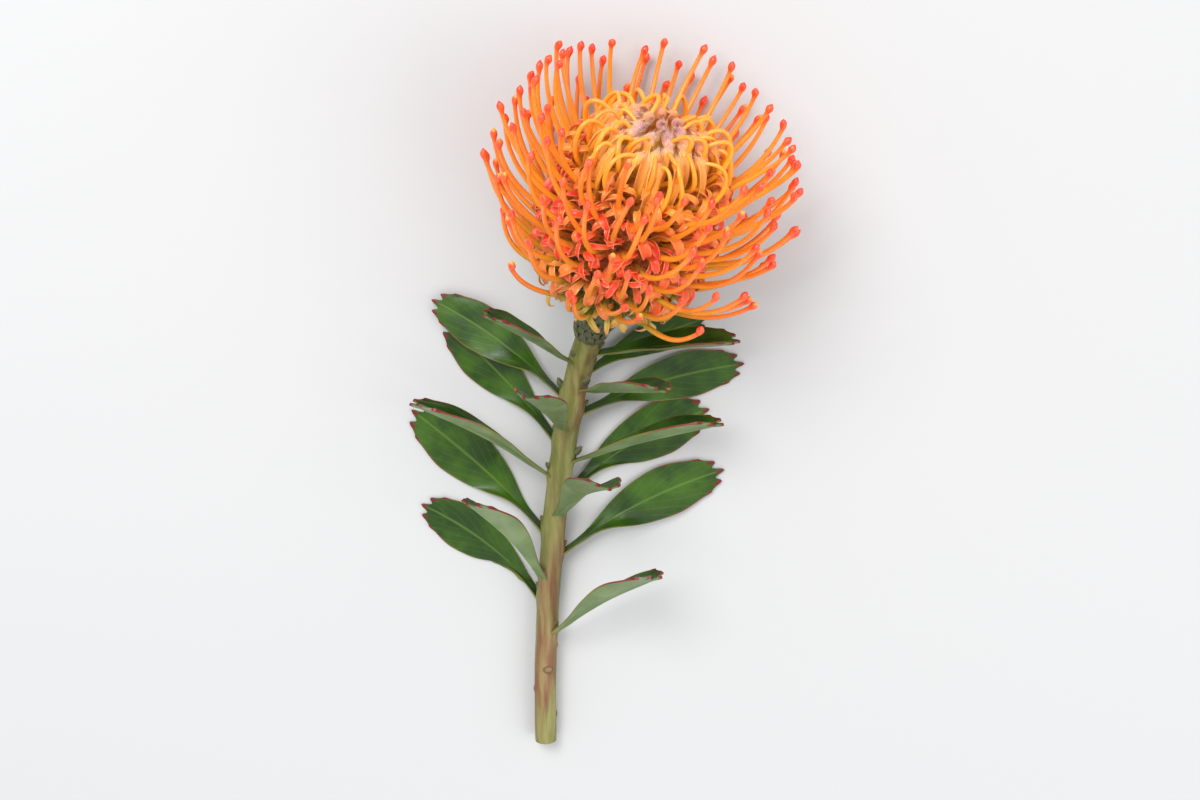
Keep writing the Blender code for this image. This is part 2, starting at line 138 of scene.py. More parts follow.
# The leaves
LEAVES = 17
FIRST_LEAF = 0.25
LAST_LEAF = 0.95
FIRST_TURN = radians(48)
LEAF_THICKNESS = 0.9 * MM
LEAF_LENGTH = (64 * MM, 50 * MM)
LEAF_SLIMNESS = (0.27, 0.32)
LEAF_LEAVE = (radians(44), radians(62))
LEAF_CURVE = (radians(4), radians(24))
LEAF_CUP = radians(24)
LEAF_ROWS = 46
LEAF_COLUMNS = 24
TOOTH_REACH = (0.89, 0.965, 0.94, 1.0, 0.94, 0.965, 0.89)
SIDEWAYS = radians(105)
SETTLE = 0.15 * MM
LEAF_WAVE = 1.1 * MM
MIDRIB_GROOVE = 0.3 * MM
MIDRIB_RIDGE = 0.4 * MM
EDGE_THINNING = 0.3 * MM
TOOTH_CALLUS = 0.28 * MM

# The camera and the lights
VIEW_AIM = Vector((0.0, 0.004, 0.03))
VIEW_TILT = radians(14)
VIEW_DISTANCE = 1.04
VIEW_LENS = 85
LIGHT_AIM = Vector((0.01, 0.05, 0.03))


# ---- small tools ----


def mix(a, b, share):
    return a + (b - a) * share


def smooth(x):
    x = min(max(x, 0.0), 1.0)
    return x * x * (3 - 2 * x)


def steps_to(count):
    """Even steps from 0 to 1."""
    return [index / count for index in range(count + 1)]


def swell(x, middle, spread):
    """A soft hump of height 1 at the middle."""
    off = (x - middle) / spread
    return exp(-off * off)


def layers(bm, *names):
    """The places where a bmesh keeps a number of each name for every vertex."""
    kept = bm.verts.layers.float
    return [kept.get(name) or kept.new(name) for name in names]


def mark(bm, **values):
    """Gives every vertex of a bmesh the same value under each name, for the materials to read."""
    for name, value in values.items():
        (layer,) = layers(bm, name)
        for vert in bm.verts:
            vert[layer] = value
    return bm


def piece(name, parts, finish, replaces=(), sharp=50):
    """One object of the model from many small closed bmeshes, which it uses up."""
    whole = bmesh.new()
    for part in parts:
        bmesh.ops.recalc_face_normals(part, faces=part.faces[:])
        mesh = bpy.data.meshes.new("part")
        part.to_mesh(mesh)
        part.free()
        whole.from_mesh(mesh)
        bpy.data.meshes.remove(mesh)
    mesh = bpy.data.meshes.new(name)
    whole.to_mesh(mesh)
    whole.free()
    mesh.shade_smooth()
    mesh.set_sharp_from_angle(angle=radians(sharp))
    mesh.materials.append(finish)
    made = bpy.data.objects.new(name, mesh)
    scene.collection.objects.link(made)
    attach(made, "root")
    if replaces:
        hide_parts(*replaces)


def pressed(point, clearance):
    """The point lifted smoothly to at least the clearance above the surface, as a springy stalk is."""
    depth = (point.z - clearance) / PRESS
    if depth < 30:
        point = point.copy()
        point.z = clearance + PRESS * log1p(exp(depth))
    return point


def tangents(points):
    last = len(points) - 1
    return [(points[min(i + 1, last)] - points[max(i - 1, 0)]).normalized() for i in range(last + 1)]


def sweep(points, across, sizes, corners, directions=None, pointed=True):
    """A closed bar along the points, of (half width, half thickness) sizes, marked with its length."""
    bm = bmesh.new()
    (along,) = layers(bm, "along")
    bmesh.ops.create_circle(bm, cap_ends=True, segments=corners, radius=1)
    bm.faces.ensure_lookup_table()
    face = bm.faces[0]
    outline = [vert.co.copy() for vert in face.verts]
    directions = directions or tangents(points)
    for index, (point, tangent, size) in enumerate(zip(points, directions, sizes)):
        if index == 1:  # the first extrusion keeps its face, as the bar's end
            grown = bmesh.ops.extrude_face_region(bm, geom=[face])["geom"]
            face = next(part for part in grown if isinstance(part, bmesh.types.BMFace))
        elif index > 1:
            face = bmesh.ops.extrude_discrete_faces(bm, faces=[face])["faces"][0]
        wide = (across - across.dot(tangent) * tangent).normalized()
        deep = tangent.cross(wide)
        for vert, corner in zip(face.verts, outline):
            vert.co = point + wide * corner.x * size[0] + deep * corner.y * size[1]
            vert[along] = index / (len(points) - 1)
    if pointed:
        bmesh.ops.pointmerge(bm, verts=face.verts[:], merge_co=points[-1])
    return bm


def sheet(points, across, half_widths, cups, thickness, twist=0.0):
    """A thin closed ribbon along the points. The cups raise its edges, as shares of its half width."""
    bm = bmesh.new()
    along, side_mark, face_mark = layers(bm, "along", "across", "face")
    rows = len(points) - 1
    bmesh.ops.create_grid(bm, x_segments=RIBBON_COLUMNS, y_segments=rows, size=1)
    directions = tangents(points)
    for vert in bm.verts:
        row = round((vert.co.y + 1) / 2 * rows)
        x = vert.co.x
        turn = Matrix.Rotation(twist * row / rows, 3, directions[row])
        wide = turn @ (across - across.dot(directions[row]) * directions[row]).normalized()
        raised = wide.cross(directions[row]) * cups[row] * x * x
        vert[along] = row / rows
        vert[side_mark] = x
        vert.co = points[row] + (wide * x + raised) * half_widths[row]
    return thickened(bm, thickness, face_mark)


def thickened(bm, thickness, face_mark):
    """Gives an open sheet its thickness, and marks the new face of it with 1."""
    count = len(bm.verts)
    bm.normal_update()
    bmesh.ops.solidify(bm, geom=bm.faces[:], thickness=thickness)
    for vert in list(bm.verts)[count:]:
        vert[face_mark] = 1.0
    return bm


def add_hair(bm, draw, root, direction, lengths, radius):
    """One hair: a slim cone on its root, of a random length. Its sizes are given in millimetres."""
    length = draw.uniform(*lengths) * MM
    placed = Matrix.Translation(root) @ direction.to_track_quat("Z", "Y").to_matrix().to_4x4()
    placed = placed @ Matrix.Translation((0, 0, length / 2))
    bmesh.ops.create_cone(
        bm, cap_ends=True, segments=3, radius1=radius * MM, radius2=0, depth=length, matrix=placed
    )


def tilt(draw, degrees):
    """A random angle of up to this much either way."""
    return radians(draw.uniform(-degrees, degrees))


def any_side(draw, across, axis):
    """A random direction at right angles to the axis."""
    spin = Matrix.Rotation(draw.uniform(0, tau), 3, axis)
    return spin @ (across - across.dot(axis) * axis).normalized()


def scattered(draw, amount):
    return Vector((draw.uniform(-1, 1), draw.uniform(-1, 1), draw.uniform(-1, 1))) * amount


def ahead(place, turn, length):
    """The (radius, height) place at a length from another, at an angle from the head's axis."""
    return place[0] + length * sin(turn), place[1] + length * cos(turn)


def arch(start, leave, reach, end, arrive, pull, steps):
    """(radius, height) points of a cubic curve that leaves and arrives at angles from the head's axis."""
    out = ahead(start, leave, reach)
    back = ahead(end, arrive, -pull)
    path = []
    for share in steps:
        rest = 1 - share
        weights = (rest**3, 3 * rest**2 * share, 3 * rest * share**2, share**3)
        corners = (start, out, back, end)
        path.append(tuple(sum(w * corner[i] for w, corner in zip(weights, corners)) for i in (0, 1)))
    return path


def bent_path(start, angle, length, steps):
    """(radius, height) points from start, where angle(share) gives the direction from the head's axis."""
    path = [start]
    step = length / steps
    for index in range(steps):
        path.append(ahead(path[-1], angle((index + 0.5) / steps), step))
    return path


# ---- the finishes ----


def tone(red, green, blue):
    """A colour from its screen values of 0 to 255."""
    def linear(value):
        value /= 255
        return value / 12.92 if value <= 0.04045 else ((value + 0.055) / 1.055) ** 2.4

    return (linear(red), linear(green), linear(blue), 1.0)


class Finish:
    """A material under construction: its nodes are added one after another and joined as they come."""

    def __init__(self, name, roughness, **sockets):
        self.material = bpy.data.materials.new(name)
        self.material.use_nodes = True
        self.nodes = self.material.node_tree.nodes
        self.links = self.material.node_tree.links
        self.shader = self.nodes["Principled BSDF"]
        self.shader.inputs["Roughness"].default_value = roughness
        for socket, value in sockets.items():
            self.shader.inputs[socket.replace("_", " ")].default_value = value

    def put(self, socket, value):
        if isinstance(value, bpy.types.NodeSocket):
            self.links.new(value, socket)
        else:
            socket.default_value = value

    def attributes(self, *names):
        """The values that the mesh carries under these names."""
        found = []
        for name in names:
            node = self.nodes.new("ShaderNodeAttribute")
            node.attribute_name = name
            found.append(node.outputs["Fac"])
        return found

    def ramp(self, value, *stops):
        """A colour that runs through the stops, each given as (position, red, green, blue)."""
        node = self.nodes.new("ShaderNodeValToRGB")
        elements = node.color_ramp.elements
        elements.remove(elements[1])
        for index, (position, *colour) in enumerate(stops):
            element = elements[0] if index == 0 else elements.new(position)
            element.position = position
            element.color = tone(*colour)
        self.put(node.inputs["Fac"], value)
        return node.outputs["Color"]

    def blend(self, share, first, second):
        node = self.nodes.new("ShaderNodeMix")
        node.data_type = "RGBA"
        self.put(node.inputs[0], share)
        self.put(node.inputs[6], first)
        self.put(node.inputs[7], second)
        return node.outputs[2]

    def tinted(self, colour, value, low, high, most, *tint):
        """The colour under a tint that grows to its most as the value goes from low to high."""
        return self.blend(self.span(value, low, high, 0.0, most), colour, tone(*tint))

    def maths(self, operation, first, second=0.0):
        node = self.nodes.new("ShaderNodeMath")
        node.operation = operation
        self.put(node.inputs[0], first)
        self.put(node.inputs[1], second)
        return node.outputs[0]

    def span(self, value, low, high, to_low=0.0, to_high=1.0):
        node = self.nodes.new("ShaderNodeMapRange")
        node.interpolation_type = "SMOOTHSTEP"
        for socket, number in zip(node.inputs[1:5], (low, high, to_low, to_high)):
            socket.default_value = number
        self.put(node.inputs[0], value)
        return node.outputs[0]

    def noise(self, scale, detail=3.0, stretch=None):
        node = self.nodes.new("ShaderNodeTexNoise")
        node.inputs["Scale"].default_value = scale
        node.inputs["Detail"].default_value = detail
        where = self.nodes.new("ShaderNodeTexCoord").outputs["Object"]
        if stretch:
            mapping = self.nodes.new("ShaderNodeMapping")
            mapping.inputs["Scale"].default_value = stretch
            self.put(mapping.inputs["Vector"], where)
            where = mapping.outputs["Vector"]
        self.put(node.inputs["Vector"], where)
        return node.outputs["Fac"]

    def finished(self, colour, height=None, distance=0.0, strength=1.0):
        """The material in its colour, with a fine relief where a height is given."""
        self.put(self.shader.inputs["Base Color"], colour)
        if height is not None:
            node = self.nodes.new("ShaderNodeBump")
            node.inputs["Strength"].default_value = strength
            node.inputs["Distance"].default_value = distance
            self.put(node.inputs["Height"], height)
            self.put(self.shader.inputs["Normal"], node.outputs["Normal"])
        return self.material


def juicy(weight):
    """Socket values for flesh that light enters a little way."""
    return {
        "Subsurface_Weight": weight,
        "Subsurface_Radius": (1.0, 0.35, 0.1),
        "Subsurface_Scale": 1.6 * MM,
    }


def style_finish():
    made = Finish("style_orange", 0.3, Coat_Weight=0.15, Coat_Roughness=0.25, **juicy(0.3))
    along, down, shade = made.attributes("along", "down", "shade")
    upper = made.ramp(
        along,
        (0, 225, 190, 60), (0.2, 255, 178, 45), (0.55, 255, 156, 38), (0.84, 255, 140, 42),
        (0.9, 255, 118, 44), (0.935, 254, 84, 36), (0.965, 250, 58, 32), (1, 240, 50, 32),
    )
    lower = made.ramp(
        along,
        (0, 140, 158, 48), (0.2, 178, 176, 50), (0.42, 244, 162, 45), (0.84, 255, 132, 44),
        (0.9, 254, 112, 46), (0.935, 254, 82, 36), (0.965, 250, 58, 32), (1, 240, 54, 34),
    )
    colour = made.blend(made.span(down, 0.35, 0.8), upper, lower)
    colour = made.tinted(colour, shade, 0.3, 1.0, 0.3, 252, 100, 42)
    colour = made.tinted(colour, made.noise(900, stretch=(1, 0.35, 1)), 0.35, 0.7, 0.25, 255, 165, 70)
    pollen = made.maths("MULTIPLY", made.span(shade, 0.76, 0.8), made.span(along, 0.965, 0.99, 0.0, 0.85))
    colour = made.blend(pollen, colour, tone(250, 176, 58))
    return made.finished(colour, made.noise(2600), 0.05 * MM, 0.3)


def curl_finish():
    made = Finish("perianth_red", 0.33, **juicy(0.4))
    along, across, face, down, shade = made.attributes("along", "across", "face", "down", "shade")
    inside = made.ramp(
        along,
        (0, 235, 180, 70), (0.22, 255, 160, 70), (0.4, 252, 104, 52), (0.58, 246, 66, 42),
        (0.85, 244, 70, 44), (1, 236, 110, 80),
    )
    golden = made.ramp(
        along, (0, 235, 195, 70), (0.4, 255, 176, 62), (0.7, 255, 150, 60), (1, 246, 120, 70)
    )
    back = made.ramp(
        along,
        (0, 205, 180, 90), (0.35, 250, 160, 92), (0.7, 250, 142, 96), (0.92, 222, 134, 100),
        (1, 150, 92, 78),
    )
    inside = made.tinted(inside, made.noise(260), 0.5, 0.72, 0.5, 255, 142, 88)
    inside = made.tinted(inside, made.maths("ABSOLUTE", across), 0.5, 1.0, 0.45, 255, 150, 92)
    low = made.ramp(along, (0, 128, 146, 58), (0.45, 188, 176, 74), (1, 216, 146, 84))
    by_crown = made.span(down, 0.0, 0.14, 0.9, 0.0)
    here_and_there = made.span(shade, 0.72, 0.95, 0.0, 0.7)
    inside = made.blend(made.maths("MAXIMUM", by_crown, here_and_there), inside, golden)
    colour = made.blend(face, inside, back)
    less = made.span(shade, 0.0, 0.7, 1.0, 0.45)
    at_base = made.maths("MULTIPLY", made.span(down, 0.52, 0.84, 0.0, 0.98), less)
    at_base = made.maths("MAXIMUM", at_base, made.span(down, 0.76, 0.92, 0.0, 0.94))
    return made.finished(made.blend(at_base, colour, low), made.noise(1500), 0.08 * MM, 0.4)


def tube_finish():
    made = Finish("perianth_tube", 0.45, **juicy(0.35))
    along, down = made.attributes("along", "down")
    colour = made.blend(
        made.span(down, 0.3, 0.75),
        made.ramp(along, (0, 190, 150, 50), (0.8, 246, 160, 70), (1, 200, 110, 60)),
        made.ramp(along, (0, 110, 122, 50), (0.8, 186, 178, 78), (1, 214, 176, 100)),
    )
    return made.finished(colour, made.noise(1200), 0.1 * MM, 0.4)


def bud_finish():
    made = Finish("closed_floret_gold", 0.4, **juicy(0.4))
    along, outward, shade = made.attributes("along", "outward", "shade")
    tube = made.ramp(
        along, (0, 190, 175, 50), (0.3, 246, 196, 58), (0.55, 255, 190, 62), (0.74, 255, 184, 84)
    )
    inner_limb = made.ramp(
        along,
        (0.7, 255, 192, 84), (0.8, 248, 186, 136), (0.88, 216, 156, 146), (0.94, 176, 118, 122),
        (1, 146, 92, 98),
    )
    outer_limb = made.ramp(
        along,
        (0.7, 255, 182, 62), (0.82, 254, 176, 92), (0.91, 240, 156, 110), (0.96, 204, 124, 100),
        (1, 140, 76, 66),
    )
    outer = made.span(made.maths("ADD", outward, made.maths("MULTIPLY", shade, 0.3)), 0.5, 1.0)
    limb = made.blend(outer, inner_limb, outer_limb)
    colour = made.blend(made.span(along, 0.7, 0.8), tube, limb)
    tube_part = made.span(along, 0.6, 0.85, 1.0, 0.2)
    warm = made.maths("MULTIPLY", made.span(outward, 0.4, 1.0, 0.0, 0.5), tube_part)
    colour = made.blend(warm, colour, tone(255, 150, 50))
    colour = made.tinted(colour, shade, 0.4, 1.0, 0.25, 255, 204, 84)
    return made.finished(colour, made.noise(1400), 0.08 * MM, 0.4)


def strap_finish():
    made = Finish("golden_strap", 0.36, **juicy(0.4))
    along, across, shade, face = made.attributes("along", "across", "shade", "face")
    colour = made.ramp(along, (0, 205, 190, 60), (0.4, 255, 204, 54), (1, 255, 192, 66))
    colour = made.tinted(colour, shade, 0.4, 1.0, 0.5, 255, 150, 56)
    colour = made.tinted(colour, made.maths("ABSOLUTE", across), 0.6, 1.0, 0.5, 255, 214, 130)
    colour = made.blend(made.maths("MULTIPLY", face, 0.6), colour, tone(236, 150, 90))
    return made.finished(colour, made.noise(1400), 0.08 * MM, 0.4)


def loop_finish():
    made = Finish("held_style_gold", 0.28, Coat_Weight=0.15, Coat_Roughness=0.25, **juicy(0.35))
    along, shade = made.attributes("along", "shade")
    colour = made.ramp(
        along, (0, 230, 190, 55), (0.25, 255, 178, 45), (0.6, 255, 162, 42), (1, 255, 182, 70)
    )
    colour = made.tinted(colour, shade, 0.3, 1.0, 0.4, 255, 134, 42)
    return made.finished(colour, made.noise(2400), 0.04 * MM, 0.3)


def hair_finish(name, colour):
    return Finish(name, 0.55, Sheen_Weight=0.3).finished(colour)


def core_finish():
    made = Finish("receptacle_brown", 0.8)
    (height,) = made.attributes("height")
    dark = made.ramp(height, (0.2, 66, 66, 34), (0.45, 112, 56, 30), (1, 168, 104, 36))
    light = made.ramp(height, (0.2, 118, 116, 58), (0.45, 186, 92, 46), (1, 226, 154, 56))
    colour = made.blend(made.span(made.noise(450), 0.35, 0.65), dark, light)
    return made.finished(colour, made.noise(700), 0.5 * MM)


def bract_finish():
    made = Finish("bract_felt", 0.75, Sheen_Weight=0.25)
    (along,) = made.attributes("along")
    colour = made.ramp(along, (0, 54, 62, 28), (0.55, 78, 88, 42), (0.82, 108, 88, 58), (1, 72, 44, 34))
    colour = made.tinted(colour, made.noise(700), 0.35, 0.7, 0.4, 124, 126, 84)
    return made.finished(colour, made.noise(1800), 0.15 * MM, 0.6)


def stem_finish():
    made = Finish("stem_skin", 0.55, Coat_Weight=0.05)
    scar, cut = made.attributes("scar", "cut")
    flush = made.span(made.noise(60, 4, (1, 0.25, 1)), 0.42, 0.62)
    colour = made.blend(flush, tone(112, 116, 52), tone(122, 70, 48))
    colour = made.tinted(colour, made.noise(420, 4, (1, 0.12, 1)), 0.35, 0.7, 0.6, 158, 150, 92)
    colour = made.tinted(colour, scar, 0.1, 0.5, 0.85, 96, 66, 42)
    colour = made.tinted(colour, scar, 0.6, 0.95, 0.8, 138, 116, 76)
    pith = made.ramp(cut, (0, 226, 222, 176), (0.55, 214, 205, 140), (0.8, 170, 176, 92))
    colour = made.blend(made.span(cut, 0.9, 0.95), pith, colour)
    return made.finished(colour, made.noise(900, 4, (1, 0.12, 1)), 0.25 * MM, 0.7)


def leaf_finish():
    made = Finish("leaf_blade", 0.38, Specular_IOR_Level=0.38)
    along, across, tooth, face = made.attributes("along", "across", "tooth", "face")
    away = made.maths("ABSOLUTE", across)
    patch = made.span(made.noise(70, 5), 0.35, 0.7)
    upper = made.blend(patch, tone(30, 60, 4), tone(58, 96, 8))
    lower = made.blend(patch, tone(104, 126, 76), tone(126, 146, 96))
    rise = made.maths("SUBTRACT", made.maths("MULTIPLY", along, 8.0), made.maths("MULTIPLY", away, 3.4))
    vein = made.maths("ABSOLUTE", made.maths("SUBTRACT", made.maths("FRACT", rise), 0.5))
    vein = made.span(vein, 0.0, 0.1, 1.0, 0.0)
    midrib = made.span(away, 0.0, 0.09, 1.0, 0.0)
    net = made.maths("MAXIMUM", made.maths("MULTIPLY", vein, 0.13), made.maths("MULTIPLY", midrib, 0.5))
    colour = made.blend(face, made.blend(net, upper, tone(104, 134, 50)), lower)
    colour = made.tinted(colour, away, 0.94, 0.99, 0.7, 128, 116, 52)
    flush = made.maths("MULTIPLY", made.span(along, 0.55, 0.85), made.span(away, 0.95, 0.99))
    colour = made.blend(flush, colour, tone(122, 52, 34))
    colour = made.tinted(colour, tooth, 0.3, 0.8, 1.0, 112, 28, 24)
    made.put(made.shader.inputs["Roughness"], made.span(made.noise(300), 0.3, 0.7, 0.32, 0.46))
    grain = made.maths("MULTIPLY", made.noise(1300), 0.5)
    relief = made.maths("ADD", grain, made.maths("MULTIPLY", net, 2.0))
    return made.finished(colour, relief, 0.12 * MM, 0.7)


# ---- the stem ----


def head_axis():
    """The direction of the head, and of the stem's end."""
    level = cos(HEAD_LIFT)
    return Vector((level * sin(HEAD_LEAN), level * cos(HEAD_LEAN), sin(HEAD_LIFT)))


def stem_ends():
    """The four points that shape the stem's curve, from its cut end to its neck."""
    neck = CUT_END + STEM_REACH
    neck.z = NECK_HEIGHT
    return CUT_END, CUT_END + STEM_START.normalized() * STEM_HANDLE, neck - head_axis() * NECK_HANDLE, neck


def stem_point(share):
    a, b, c, d = stem_ends()
    rest = 1 - share
    return a * rest**3 + b * 3 * rest**2 * share + c * 3 * rest * share**2 + d * share**3


def stem_direction(share):
    a, b, c, d = stem_ends()
    rest = 1 - share
    return ((b - a) * rest**2 + (c - b) * 2 * rest * share + (d - c) * share**2).normalized()


def stem_radius(share):
    return mix(STEM_RADIUS, NECK_RADIUS, smooth(share))


def leaf_share(index):
    """The leaf's place along the stem. The leaves crowd towards the head."""
    return mix(FIRST_LEAF, LAST_LEAF, (index / (LEAVES - 1)) ** 0.85)


def leaf_turn(index):
    """The leaf's angle round the stem from straight up. Those that face the surface are turned aside."""
    turn = (index * GOLDEN_ANGLE + FIRST_TURN) % tau
    side = 1 if turn < pi else -1
    off_top = turn if side > 0 else tau - turn
    if off_top > SIDEWAYS:
        off_top = mix(SIDEWAYS, off_top, 0.3)
    return side * off_top


def stem_axes(share):
    """The stem's direction, the way to its right and the way up from it."""
    along = stem_direction(share)
    right = along.cross(UP).normalized()
    return along, right, right.cross(along)


def stem_outward(share, turn):
    _, right, up = stem_axes(share)
    return up * cos(turn) + right * sin(turn)


def leaf_outward(index):
    return stem_outward(leaf_share(index), leaf_turn(index))


def cushion_height(share, outward):
    """How far the leaf cushions lift the stem's skin at this place."""
    height = 0.0
    for index in range(LEAVES):
        facing = max(outward.dot(leaf_outward(index)), 0.0)
        height = max(height, CUSHION * swell(share, leaf_share(index), CUSHION_SPREAD) * facing**4)
    return height


def make_stem():
    """The stem with its leaf cushions, the scars of stripped leaves and the rings of its cut end."""
    shares = steps_to(STEM_RINGS - 1)
    points = [stem_point(share) for share in shares]
    sizes = [(stem_radius(share),) * 2 for share in shares]
    directions = [stem_direction(share) for share in shares]
    bm = sweep(points, stem_axes(0)[1], sizes, STEM_CORNERS, directions=directions, pointed=False)
    along, cut, scar = layers(bm, "along", "cut", "scar")
    for vert in bm.verts:
        share = vert[along]
        outward = (vert.co - stem_point(share)).normalized()
        ridge = noise.noise(Vector((outward.x * 5, share * 9, outward.z * 5))) * 0.22 * MM
        vert.co += outward * (cushion_height(share, outward) + ridge)
        vert.co.z = max(vert.co.z, 0.0)
        vert[cut] = 1.0
        outward = (vert.co - stem_point(share)).normalized()
        for index, place in enumerate(SCARS):
            turn = outward.angle(stem_outward(place, leaf_turn(index + 3)))
            away = hypot((share - place) / SCAR_LENGTH, turn / SCAR_WIDTH)
            vert[scar] = max(vert[scar], 1 - smooth(away - 0.35))
        vert.co += outward * vert[scar] * SCAR_HEIGHT
        vert.co.z = max(vert.co.z, 0.0)
    bm.faces.ensure_lookup_table()
    end = min(bm.faces, key=lambda face: (face.calc_center_median() - stem_point(0)).length)
    to_middle = Matrix.Translation(-stem_point(0))
    reach = 1.0
    for ring in GROWTH_RINGS:
        end = bmesh.ops.extrude_discrete_faces(bm, faces=[end])["faces"][0]
        bmesh.ops.scale(bm, vec=(ring / reach,) * 3, space=to_middle, verts=end.verts)
        reach = ring
        for vert in end.verts:
            vert[cut] = ring * 0.9
    piece("stem_bark", [bm], stem_finish(), ["stem"])


# ---- the head ----


def head_frame():
    """Head coordinates: x to the right, y upwards and z along the head's axis from the involucre's top."""
    axis = head_axis()
    right = axis.cross(UP).normalized()
    up = right.cross(axis)
    made = Matrix((right, up, axis)).transposed().to_4x4()
    made.translation = stem_ends()[3] + axis * (INVOLUCRE_LENGTH + FIT_GAP)
    return made


HEAD = head_frame()


def on_core(polar):
    """The core's (radius, height) at a polar angle from the crown."""
    side, height = sin(polar), cos(polar)
    if height > 0:
        return CORE_RADIUS * side, CORE_MIDDLE + (CORE_TOP - CORE_MIDDLE) * height
    return mix(CORE_FOOT, CORE_RADIUS, abs(side) ** 1.6), CORE_MIDDLE * (1 + height)


def meridian(azimuth, flat, sideways=None):
    """Points of the half plane at an azimuth, from (radius, height) pairs and their drift sideways."""
    out = Vector((cos(azimuth), sin(azimuth), 0))
    across = Vector((-sin(azimuth), cos(azimuth), 0))
    drift = sideways or [0.0] * len(flat)
    points = [HEAD @ (out * r + across * d + Vector((0, 0, w))) for (r, w), d in zip(flat, drift)]
    return points, HEAD.to_3x3() @ across


def turned(profile, steps):
    """A closed solid turned round the head's axis from (radius, height) points that end on it."""
    bm = bmesh.new()
    line = [bm.verts.new((radius, 0, height)) for radius, height in profile]
    edges = [bm.edges.new(pair) for pair in zip(line, line[1:])]
    bmesh.ops.spin(
        bm, geom=line + edges, cent=(0, 0, 0), axis=(0, 0, 1), angle=tau, steps=steps, use_merge=True
    )
    bmesh.ops.remove_doubles(bm, verts=bm.verts[:], dist=0.01 * MM)
    bmesh.ops.transform(bm, matrix=HEAD, verts=bm.verts[:])
    return bm


def open_polar(down):
    """The polar angle of what stands this far down the open florets, from the crown at 0 to the base."""
    return acos(mix(cos(OPEN_TOP), cos(OPEN_BOTTOM), down))


def style_size(share):
    """The style's radius along it: slim in the middle, with a spindle at its tip."""
    tip = 1 - TIP_LENGTH / STYLE_LENGTH
    if share < tip:
        return STYLE_RADIUS * mix(1.08, 0.78, smooth(share / tip))
    off = (share - tip) / (1 - tip)
    body = smooth(off / 0.55) * (1 - smooth((off - 0.5) / 0.5)) ** 0.7
    return mix(STYLE_RADIUS * 0.78 * (1 - off**3), TIP_RADIUS, body)


def make_style(down, polar, azimuth, draw):
    """A released style: it leaves the core, arches outwards and rises to its swollen tip."""
    leave = mix(*STYLE_LEAVE, down) + tilt(draw, 4)
    arrive = mix(*STYLE_ARRIVE, down) + tilt(draw, 10)
    length = (STYLE_LENGTH + STYLE_EXTRA * sin(pi * down)) * draw.uniform(0.93, 1.05)
    swing = STYLE_SWING * draw.uniform(-1, 1)
    nod = radians(draw.uniform(-28, 8))  # how the tip turns off the style's line
    wave = tilt(draw, 6)
    foot = on_core(polar)

    def angle(share):
        turn = mix(leave, arrive, share**1.25) + wave * sin(tau * share)
        return turn + nod * smooth((share - 0.88) / 0.08)

    path = bent_path(foot, angle, length, STYLE_STEPS)
    chosen = [*range(0, TIP_STEP, 4), TIP_STEP, TIP_STEP + 2, *range(TIP_STEP + 3, STYLE_STEPS + 1)]
    flat = [ahead(foot, leave, -STYLE_ROOT)] + [path[step] for step in chosen]
    drift = [0.0] + [swing * (step / STYLE_STEPS) ** 2 for step in chosen]
    points, across = meridian(azimuth, flat, drift)
    points = [pressed(point, STYLE_RADIUS) for point in points]
    sizes = [(STYLE_RADIUS * 1.05,) * 2]
    sizes += [(max(style_size(step / STYLE_STEPS), 0.1 * MM),) * 2 for step in chosen]
    bm = sweep(points, across, sizes, STYLE_CORNERS)
    (along,) = layers(bm, "along")
    marks = [0.0] + [step / STYLE_STEPS for step in chosen]
    for vert in bm.verts:
        vert[along] = marks[round(vert[along] * (len(marks) - 1))]
    return mark(bm, down=down, shade=draw.random())


def curl_path(down, polar, stretch, roll, radius):
    """The line of a perianth ribbon: straight out of the core, then rolled back in a tightening curl."""
    leave = mix(*CURL_LEAVE, smooth(down * 2))
    root = ahead(on_core(polar), leave, -CURL_ROOT)
    path = bent_path(root, lambda share: leave, CURL_ROOT + stretch, 5)
    steps = 12
    for step in range(steps):
        share = (step + 0.5) / steps
        path.append(ahead(path[-1], leave + roll * share, radius * mix(1.3, 0.65, share) * roll / steps))
    return path


